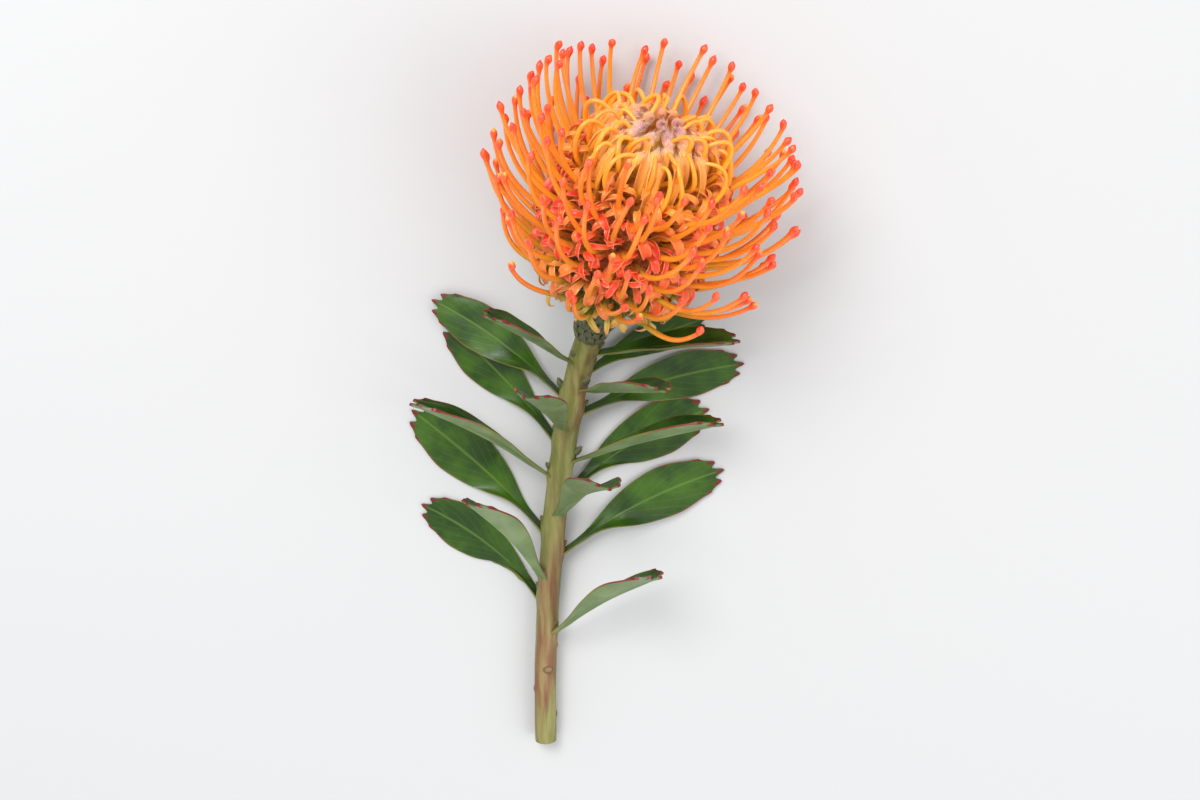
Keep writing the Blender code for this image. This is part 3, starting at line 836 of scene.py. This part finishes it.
def make_curl(down, polar, azimuth, draw, size, side, hairs):
    """One ribbon of an open perianth: a narrow claw, and a spoon that rolls back away from the style."""
    stretch = mix(*CURL_STRETCH, smooth(down * 3)) * draw.uniform(0.6, 1.15)
    size *= mix(1.0, 0.52, smooth((down - 0.74) * 4))
    roll = radians(draw.uniform(95, 250) - 30 * smooth((down - 0.6) * 3))
    path = curl_path(down, polar, stretch, roll, CURL_RADIUS * draw.uniform(0.85, 1.45))
    points, across = meridian(azimuth, path)
    turn = Matrix.Rotation(radians(side * 50 + draw.uniform(-45, 45)), 3, points[1] - points[0])
    points = [points[0] + turn @ (point - points[0]) for point in points]
    points = [pressed(point, CURL_WIDTH / 2) for point in points]
    last = len(points) - 1
    widest = draw.uniform(0.55, 0.68)
    slim = draw.uniform(0.22, 0.3)
    halves, cups = [], []
    fold = draw.uniform(0.35, 0.95)
    for row in range(last + 1):
        share = row / last
        spoon = mix(slim, 0.52, smooth((share - 0.25) / (widest - 0.25)))
        halves.append(CURL_WIDTH * size * spoon * (1 - 0.86 * smooth((share - widest) / (1 - widest))))
        cups.append(fold * mix(1.1, 0.7, smooth(share / 0.7)))
    twist = tilt(draw, 80)
    across = turn @ across
    fringe = bmesh.new()
    directions = tangents(points)
    for _ in range(CURL_HAIRS):
        row = draw.randrange(4, last + 1)
        wide = Matrix.Rotation(twist * row / last, 3, directions[row]) @ across
        edge = draw.choice((-1, 1))
        root = points[row] + wide * edge * halves[row] * 0.85
        direction = wide * edge + directions[row] * draw.uniform(-0.3, 0.8) + scattered(draw, 0.7)
        add_hair(fringe, draw, root, direction, (0.6, 1.5), 0.035)
    hairs.append(fringe)
    ribbon = sheet(points, across, halves, cups, CURL_THICKNESS, twist=twist)
    return mark(ribbon, down=down, shade=draw.random())


def make_foot(down, polar, azimuth, draw, wool):
    """The tube that an open floret's style and perianth come out of."""
    leave = mix(*CURL_LEAVE, smooth(down * 2)) + radians(12) * smooth((down - 0.6) / 0.4)
    low = smooth((down - 0.5) * 2.4)
    reaches = (-5, -2, 1.5, mix(4.2, 7.6, low), mix(5, 8.8, low))
    path = [ahead(on_core(polar), leave, reach * MM) for reach in reaches]
    points, across = meridian(azimuth, path)
    points = [pressed(point, 1.6 * MM) for point in points]
    radii = (1.4, 1.5, mix(1.65, 1.8, low), mix(1.45, 1.6, low), 0.8)
    directions = tangents(points)
    tuft = bmesh.new()
    for _ in range(8 + int(60 * down)):
        step = draw.choice((2, 2, 3, 3, 4))
        outward = any_side(draw, across, directions[step])
        root = points[step] + outward * radii[step] * 0.9 * MM + directions[step] * draw.uniform(-2, 2) * MM
        lean = directions[step] + outward * draw.uniform(0.3, 1) + scattered(draw, 0.5)
        add_hair(tuft, draw, root, lean, (0.8, 2.0), 0.04)
    wool.append(tuft)
    return mark(sweep(points, across, [(radius * MM,) * 2 for radius in radii], STYLE_CORNERS), down=down)


def make_core():
    """The receptacle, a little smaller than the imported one, so that it shows only as depth."""
    profile = [(0, 2 * MM)] + [on_core(mix(pi * 0.97, 0.02, step)) for step in steps_to(24)]
    profile = [(radius * 0.93, mix(CORE_MIDDLE, height, 0.95)) for radius, height in profile]
    profile[-1] = (0, profile[-1][1])
    core = turned(profile, 40)
    (height,) = layers(core, "height")
    to_head = HEAD.inverted()
    for vert in core.verts:
        vert[height] = (to_head @ vert.co).z / CORE_TOP
    piece("head_core", [core], core_finish(), ["open_florets"])


def make_open_florets():
    draw = random.Random(11)
    styles, curls, straps, feet, hairs, wool = [], [], [], [], [], []
    for index in range(OPEN_FLORETS):
        down = ((index + 0.5) / OPEN_FLORETS) ** 1.15
        polar = open_polar(down)
        azimuth = index * GOLDEN_ANGLE + tilt(draw, 3)
        styles.append(make_style(down, polar, azimuth, draw))
        feet.append(make_foot(down, polar, azimuth, draw, wool))
        for size, side in zip(CURL_SIZES, (0.2, 1.0, -1.0)):
            beside = azimuth + side * 2.2 * MM / on_core(polar)[0]
            curls.append(make_curl(down, polar, beside, draw, size, side, hairs))
    for index in range(FILLERS):
        down = mix(-0.16, 0.92, ((index + 0.5) / FILLERS) ** 1.25)
        azimuth = (index + 0.5) * GOLDEN_ANGLE + 0.9
        size, side = draw.uniform(0.5, 0.85), draw.uniform(-1.4, 1.4)
        straps.append(make_curl(max(down, 0.0), open_polar(down), azimuth, draw, size, side, hairs))
    make_core()
    piece("styles", styles, style_finish())
    petal = curl_finish()
    piece("perianth_curls", curls, petal, sharp=80)
    piece("perianth_straps", straps, petal, sharp=80)
    piece("perianth_tubes", feet, tube_finish())
    piece("perianth_hairs", hairs, hair_finish("perianth_hair", tone(255, 226, 200)))
    piece("base_wool", wool, hair_finish("cream_wool", tone(238, 226, 180)))


def on_dome(polar):
    return DOME_RADIUS * sin(polar), DOME_MIDDLE + DOME_HALF_HEIGHT * cos(polar)


def bud_tip(polar):
    """Where the limb of a closed floret ends: on the dome, nearer the crown's middle than its foot."""
    return on_dome(polar * mix(0.3, 0.5, polar / CROWN_ANGLE))


def bud_path(polar, steps):
    outward = polar / CROWN_ANGLE
    r, w = on_core(polar)
    root = (r * 0.85, w - 5 * MM)
    arrive = mix(*BUD_ARRIVE, outward)
    return arch(root, polar, mix(*BUD_REACH, outward), bud_tip(polar), arrive, BUD_PULL, steps)


def bud_size(share):
    """The closed perianth's radius along it: a tube, a slight waist and the swollen limb."""
    tube = BUD_RADIUS * mix(1.1, 0.78, smooth(share / 0.7))
    limb = (LIMB_RADIUS - BUD_RADIUS * 0.78) * swell(share, 0.83, 0.12)
    return (tube + limb) * (1 - smooth((share - 0.8) / 0.2)) ** 0.6


def make_golden_strap(polar, azimuth, draw):
    """The side of a perianth tube that its style has left: a golden channel that bends in over the crown."""
    steps = [mix(0.15, 0.88, step) for step in steps_to(16)]
    sway = draw.uniform(-3, 3) * MM
    path = bud_path(polar, steps)
    flat = [(r + 0.6 * MM, w + draw.uniform(0.7, 1.2) * MM * step) for (r, w), step in zip(path, steps)]
    points, across = meridian(azimuth, flat, [sway * step for step in steps])
    halves = [1.7 * MM * (1 - 0.75 * smooth((step - 0.7) / 0.3)) for step in steps_to(16)]
    cups = [-draw.uniform(0.5, 1.0)] * len(steps)
    twist = tilt(draw, 30)
    return sheet(points, across, halves, cups, CURL_THICKNESS, twist=twist)


def make_bud(polar, azimuth, sway, draw, hairs):
    """A closed perianth: it leaves the core outwards, and its hairy limb bends in over the crown."""
    steps = steps_to(30)
    path = bud_path(polar, steps)
    points, across = meridian(azimuth, path, [sway * step**2 for step in steps])
    thick = draw.uniform(0.88, 1.1)
    radii = [max(bud_size(step) * thick, 0.12 * MM) for step in steps]
    flat = mix(0.86, 1.2, draw.random())
    sizes = [(radius * mix(flat, 1, smooth((step - 0.7) * 5)), radius) for radius, step in zip(radii, steps)]
    directions = tangents(points)
    tuft = bmesh.new()
    for _ in range(BUD_HAIRS):
        step = min(int(draw.triangular(15, 31, 27)), 30)
        outward = any_side(draw, across, directions[step])
        root = points[step] + outward * radii[step] * 0.93
        direction = directions[step] * 1.5 + outward * draw.uniform(0.1, 0.55) + scattered(draw, 0.3)
        add_hair(tuft, draw, root, direction, (1.2, 2.8), 0.038)
    hairs.append(tuft)
    bm = sweep(points, across, sizes, 12)
    return mark(bm, outward=polar / CROWN_ANGLE, shade=draw.random())


def make_loop(polar, azimuth, sway, draw):
    """The style of a closed floret, which bows out of the tube's split side and back into its limb."""
    root, end = bud_path(polar, (0.22, 0.82))
    reach, pull = draw.uniform(*LOOP_REACH), draw.uniform(*LOOP_PULL)
    leave = mix(1.25, polar, 0.5) + draw.uniform(-0.2, 0.2)
    arrive = LOOP_ARRIVE + radians(draw.uniform(-18, 22))
    steps = steps_to(30)
    path = arch(root, leave, reach, end, arrive, pull, steps)
    bow, lean = draw.uniform(-4.5, 4.5) * MM, draw.uniform(-2.5, 2.5) * MM
    drift = [bow * sin(pi * step) + lean * sin(tau * step) for step in steps]
    drift = [aside + sway * 0.7 * step**2 for aside, step in zip(drift, steps)]
    points, across = meridian(azimuth, path, drift)
    thick = LOOP_RADIUS * draw.uniform(0.86, 1.12)
    sizes = [(thick * mix(1.12, 0.86, step) * (1 + 0.12 * swell(step, 0.42, 0.2)),) * 2 for step in steps]
    return mark(sweep(points, across, sizes, STYLE_CORNERS), shade=draw.random())


def make_closed_florets():
    draw = random.Random(5)
    buds, loops, straps, hairs = [], [], [], []
    for index in range(CLOSED_FLORETS):
        outward = (index + 0.5) / CLOSED_FLORETS
        polar = acos(mix(1, cos(CROWN_ANGLE), outward))
        azimuth = index * GOLDEN_ANGLE
        sway = draw.uniform(-BUD_SWAY, BUD_SWAY)
        buds.append(make_bud(polar, azimuth, sway, draw, hairs))
        if polar > LOOPED_FROM:
            loops.append(make_loop(polar, azimuth, sway, draw))
    for index in range(GOLDEN_STRAPS):
        polar = CROWN_ANGLE * sqrt(mix(0.06, 0.95, (index + 0.5) / GOLDEN_STRAPS))
        strap = make_golden_strap(polar, (index + 0.4) * GOLDEN_ANGLE, draw)
        straps.append(mark(strap, shade=draw.random()))
    piece("closed_perianths", buds, bud_finish(), ["closed_florets"])
    piece("golden_straps", straps, strap_finish(), sharp=80)
    piece("held_styles", loops, loop_finish())
    piece("limb_hairs", hairs, hair_finish("silky_hair", tone(255, 238, 212)))


def cup_radius(share):
    """The involucre's radius, from the stem's neck at 0 to the florets at 1."""
    return mix(INVOLUCRE_FOOT, INVOLUCRE_RADIUS, share**1.5)


def make_bract(radius, height, azimuth, size, draw):
    """One ovate bract, rooted in the cup, with its point standing off it."""
    rows = 10
    lean = radians(draw.uniform(16, 26))
    path = [(radius - 0.5 * MM, height - 1.5 * MM)]
    for row in range(rows):
        turn = lean + radians(22) * smooth((row / rows - 0.5) * 2)
        path.append(ahead(path[-1], turn, size * BRACT_LENGTH / rows))
    points, across = meridian(azimuth, path)
    halves = [size * 2.3 * MM * (1 - abs(row / rows * 1.5 - 0.5) ** 2.4) ** 0.9 for row in range(rows)]
    halves.append(0.12 * MM)
    cups = [-0.35 + 0.1 * row / rows for row in range(rows + 1)]
    return mark(sheet(points, across, halves, cups, 0.5 * MM), shade=draw.random())


def make_involucre():
    draw = random.Random(7)
    low, high = -INVOLUCRE_LENGTH, 2.5 * MM
    profile = [(0, low - 0.3 * MM)]
    profile += [(cup_radius(step) - 0.1 * MM, mix(low, high, step)) for step in steps_to(12)]
    profile += [(0, high)]
    bracts = [mark(turned(profile, 32), along=0.2, across=0.0, shade=0.5)]
    for row in range(BRACT_ROWS):
        share = (row + 0.3) / BRACT_ROWS
        for place in range(BRACTS_IN_ROW):
            azimuth = tau * (place + 0.5 * (row % 2)) / BRACTS_IN_ROW + draw.uniform(-0.06, 0.06)
            size = mix(0.6, 1.0, share) * draw.uniform(0.9, 1.1)
            bracts.append(make_bract(cup_radius(share), mix(low, high, share), azimuth, size, draw))
    wool = []
    for _ in range(BRACT_ROWS * BRACTS_IN_ROW):
        tuft = bmesh.new()
        for _ in range(9):
            share, azimuth = draw.uniform(0.05, 1.0), draw.uniform(0, tau)
            out = Vector((cos(azimuth), sin(azimuth), 0))
            root = HEAD @ (out * (cup_radius(share) + 0.7 * MM) + Vector((0, 0, mix(low, high, share))))
            lean = HEAD.to_3x3() @ (out * 0.6 + UP) + scattered(draw, 0.5)
            if root.z > 1 * MM:
                add_hair(tuft, draw, root, lean, (0.8, 1.7), 0.03)
        wool.append(tuft)
    piece("involucre_bracts", bracts, bract_finish(), ["involucre"])
    piece("bract_hairs", wool, hair_finish("bract_hair", tone(196, 190, 150)))


# ---- the leaves ----


def leaf_form(index):
    """A leaf's length, width, angle from the stem and outward curve, which change along the stem."""
    draw = random.Random(100 + index)
    up = index / (LEAVES - 1)
    length = mix(*LEAF_LENGTH, smooth((up - 0.55) / 0.45)) * draw.uniform(0.95, 1.08)
    width = length * draw.uniform(*LEAF_SLIMNESS)
    leave = mix(*LEAF_LEAVE, up) + tilt(draw, 5)
    return length, width, leave, draw.uniform(*LEAF_CURVE)


def leaf_half_width(share):
    """The blade's outline as a share of its half width: a narrow base, and widest past the middle."""
    grow = smooth(share / 0.68)
    shrink = 1 - 0.42 * smooth((share - 0.66) / 0.34)
    return mix(0.24, 1.0, grow) * shrink


def leaf_base(index):
    """Where the middle of the leaf's base stands, just off the skin of its cushion."""
    outward = leaf_outward(index)
    packed_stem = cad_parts["stem"]
    _, skin, _, _ = packed_stem.ray_cast(stem_point(leaf_share(index)) + outward * 20 * MM, -outward)
    return skin + outward * FIT_GAP


def leaf_point(index, base, share, across):
    """A point of the blade's upper face, at a share of its length and from -1 to 1 across it."""
    length, width, leave, curve = leaf_form(index)
    along = stem_direction(leaf_share(index))
    outward = leaf_outward(index)
    angle = leave + curve * share
    run = length / curve * (sin(angle) - sin(leave))
    rise = length / curve * (cos(leave) - cos(angle))
    direction = along * cos(angle) + outward * sin(angle)
    side = outward.cross(along)
    level = direction.cross(UP).normalized()
    if level.dot(side) < 0:
        level.negate()
    settled = smooth((share - 0.08) / 0.45) * smooth(-outward.z / 0.25)
    side = side.lerp(level, settled).normalized()
    cup = LEAF_CUP * (1 - settled) * smooth(share / 0.4)
    half = width * 0.5 * leaf_half_width(share)
    raised = side.cross(direction) * abs(across) ** 1.5 * sin(cup)
    return base + along * run + outward * rise + half * (side * across * cos(cup) + raised)


def tooth_reach(across):
    """How far the blade reaches at this place across it, as a share of its length, round each tooth."""
    place = (across + 1) / 2 * (len(TOOTH_REACH) - 1)
    first = min(int(place), len(TOOTH_REACH) - 2)
    return mix(TOOTH_REACH[first], TOOTH_REACH[first + 1], smooth(place - first))


def tooth_mark(across, row):
    """1 on the callus of a tooth, 0 away from it."""
    tips = (0.0, 2 / 3, 1.0)
    near = max(swell(abs(across), tip, 0.13) for tip in tips)
    return near * smooth((row - 0.93) / 0.05)


def make_leaf(index, base, finish):
    """A leathery blade with a wavy margin, a sunk midrib that stands proud behind, and toothed tip."""
    bm = bmesh.new()
    along, side_mark, tooth, face = layers(bm, "along", "across", "tooth", "face")
    bmesh.ops.create_grid(bm, x_segments=LEAF_COLUMNS, y_segments=LEAF_ROWS, size=1)
    for vert in bm.verts:
        across, row = vert.co.x, (vert.co.y + 1) / 2
        across = copysign(1 - (1 - abs(across)) ** 1.25, across)
        place = mix(-0.025, mix(0.86, tooth_reach(across), smooth((row - 0.5) * 2)), row)
        vert.co = leaf_point(index, base, place, across)
        vert[along] = row
        vert[side_mark] = across
        vert[tooth] = tooth_mark(across, row)
    bm.normal_update()
    for vert in bm.verts:
        row, across = vert[along], vert[side_mark]
        wave = noise.noise(Vector((across * 1.6, row * 3.2, index * 7.0)))
        wave *= LEAF_WAVE * smooth(row * 3) * abs(across)
        groove = -MIDRIB_GROOVE * swell(across, 0, 0.07) * smooth(row * 5) * smooth((1 - row) * 5)
        point = vert.co + vert.normal * (wave + groove)
        vert.co = point.lerp(pressed(point, LEAF_THICKNESS - SETTLE), min(row * 5, 1))
    thickened(bm, LEAF_THICKNESS * 0.9, face)
    bm.normal_update()
    for vert in bm.verts:
        row, across = vert[along], abs(vert[side_mark])
        callus = vert[tooth] * TOOTH_CALLUS
        ridge = vert[face] * MIDRIB_RIDGE * swell(across, 0, 0.06) * smooth((1 - row) * 3)
        thin = vert[face] * EDGE_THINNING * smooth((across - 0.75) * 4) * smooth(row * 6)
        vert.co += vert.normal * (callus + ridge - thin)
        vert.co.z = max(vert.co.z, 0.0)
    piece(f"blade_{index + 1:02d}", [bm], finish, [f"leaf_{index + 1:02d}"])


def make_axil_buds(bases):
    """The small felted bud in the upper angle of each leaf."""
    draw = random.Random(31)
    buds, fuzz = [], []
    for index, base in enumerate(bases):
        along = stem_direction(leaf_share(index))
        outward = leaf_outward(index)
        size = draw.uniform(0.75, 1.15) * MM
        start = base + along * 1.2 * MM - outward * 1.2 * MM
        lean = along * 0.85 + outward * 0.55
        line = [start + lean * reach * size for reach in (0, 1.2, 2.2, 3.2, 4, 4.4)]
        radii = [radius * size for radius in (0.8, 1.3, 1.45, 1.1, 0.6, 0.1)]
        side = outward.cross(along)
        bud = sweep(line, side, [(radius, radius * 0.8) for radius in radii], 12)
        buds.append(mark(bud, shade=draw.random()))
        tuft = bmesh.new()
        for _ in range(40):
            step = draw.randrange(1, 5)
            away = any_side(draw, side, along)
            root = line[step] + away * radii[step] * 0.75
            direction = along + away * 0.7 + scattered(draw, 0.3)
            add_hair(tuft, draw, root, direction, (0.5, 1.1), 0.03)
        fuzz.append(tuft)
    piece("axil_buds", buds, bract_finish())
    piece("axil_fuzz", fuzz, hair_finish("bud_hair", tone(170, 158, 124)))


def make_down():
    """The short down on the upper stem."""
    draw = random.Random(37)
    down = []
    for _ in range(DOWN_TUFTS):
        tuft = bmesh.new()
        for _ in range(50):
            share = mix(0.55, 0.995, draw.random() ** 0.7)
            outward = stem_outward(share, draw.uniform(0, tau))
            root = stem_point(share) + outward * stem_radius(share)
            lean = stem_direction(share) * draw.uniform(0, 1) + outward + scattered(draw, 0.4)
            if root.z > 0.4 * MM:
                add_hair(tuft, draw, root, lean, (0.35, 0.8), 0.022)
        down.append(tuft)
    piece("stem_down", down, hair_finish("stem_hair", tone(206, 202, 160)))


# ---- the studio ----


def make_studio():
    floor_mesh = bpy.data.meshes.new("floor")
    bm = bmesh.new()
    bmesh.ops.create_grid(bm, x_segments=1, y_segments=1, size=3)
    bm.to_mesh(floor_mesh)
    bm.free()
    floor_mesh.materials.append(Finish("floor_paper", 0.9).finished(tone(201, 201, 201)))
    floor = bpy.data.objects.new("floor", floor_mesh)
    floor.location.z = -0.2 * MM
    scene.collection.objects.link(floor)

    world = bpy.data.worlds.new("studio")
    world.use_nodes = True
    sky = world.node_tree.nodes["Background"]
    sky.inputs["Color"].default_value = (0.97, 0.98, 1.0, 1.0)
    sky.inputs["Strength"].default_value = 0.85
    scene.world = world

    add_light("key", Vector((-0.45, 0.75, 1.2)), 0.7, 15.0)
    add_light("fill", Vector((0.8, -0.3, 0.9)), 0.9, 5.0)

    lens = bpy.data.cameras.new("camera")
    lens.lens = VIEW_LENS
    camera = bpy.data.objects.new("camera", lens)
    camera.location = VIEW_AIM + Vector((0, sin(VIEW_TILT), cos(VIEW_TILT))) * VIEW_DISTANCE
    camera.rotation_euler = (-VIEW_TILT, 0, 0)
    scene.collection.objects.link(camera)
    scene.camera = camera
    scene.view_settings.view_transform = "Standard"


def add_light(name, place, size, power):
    lamp = bpy.data.lights.new(name, "AREA")
    lamp.size = size
    lamp.energy = power
    light = bpy.data.objects.new(name, lamp)
    light.location = place
    light.rotation_mode = "QUATERNION"
    light.rotation_quaternion = (LIGHT_AIM - place).to_track_quat("-Z", "Y")
    scene.collection.objects.link(light)


green_blade = leaf_finish()
leaf_bases = [leaf_base(number) for number in range(LEAVES)]
for number, foot in enumerate(leaf_bases):
    make_leaf(number, foot, green_blade)
make_stem()
make_axil_buds(leaf_bases)
make_down()
make_involucre()
make_open_florets()
make_closed_florets()
make_studio()
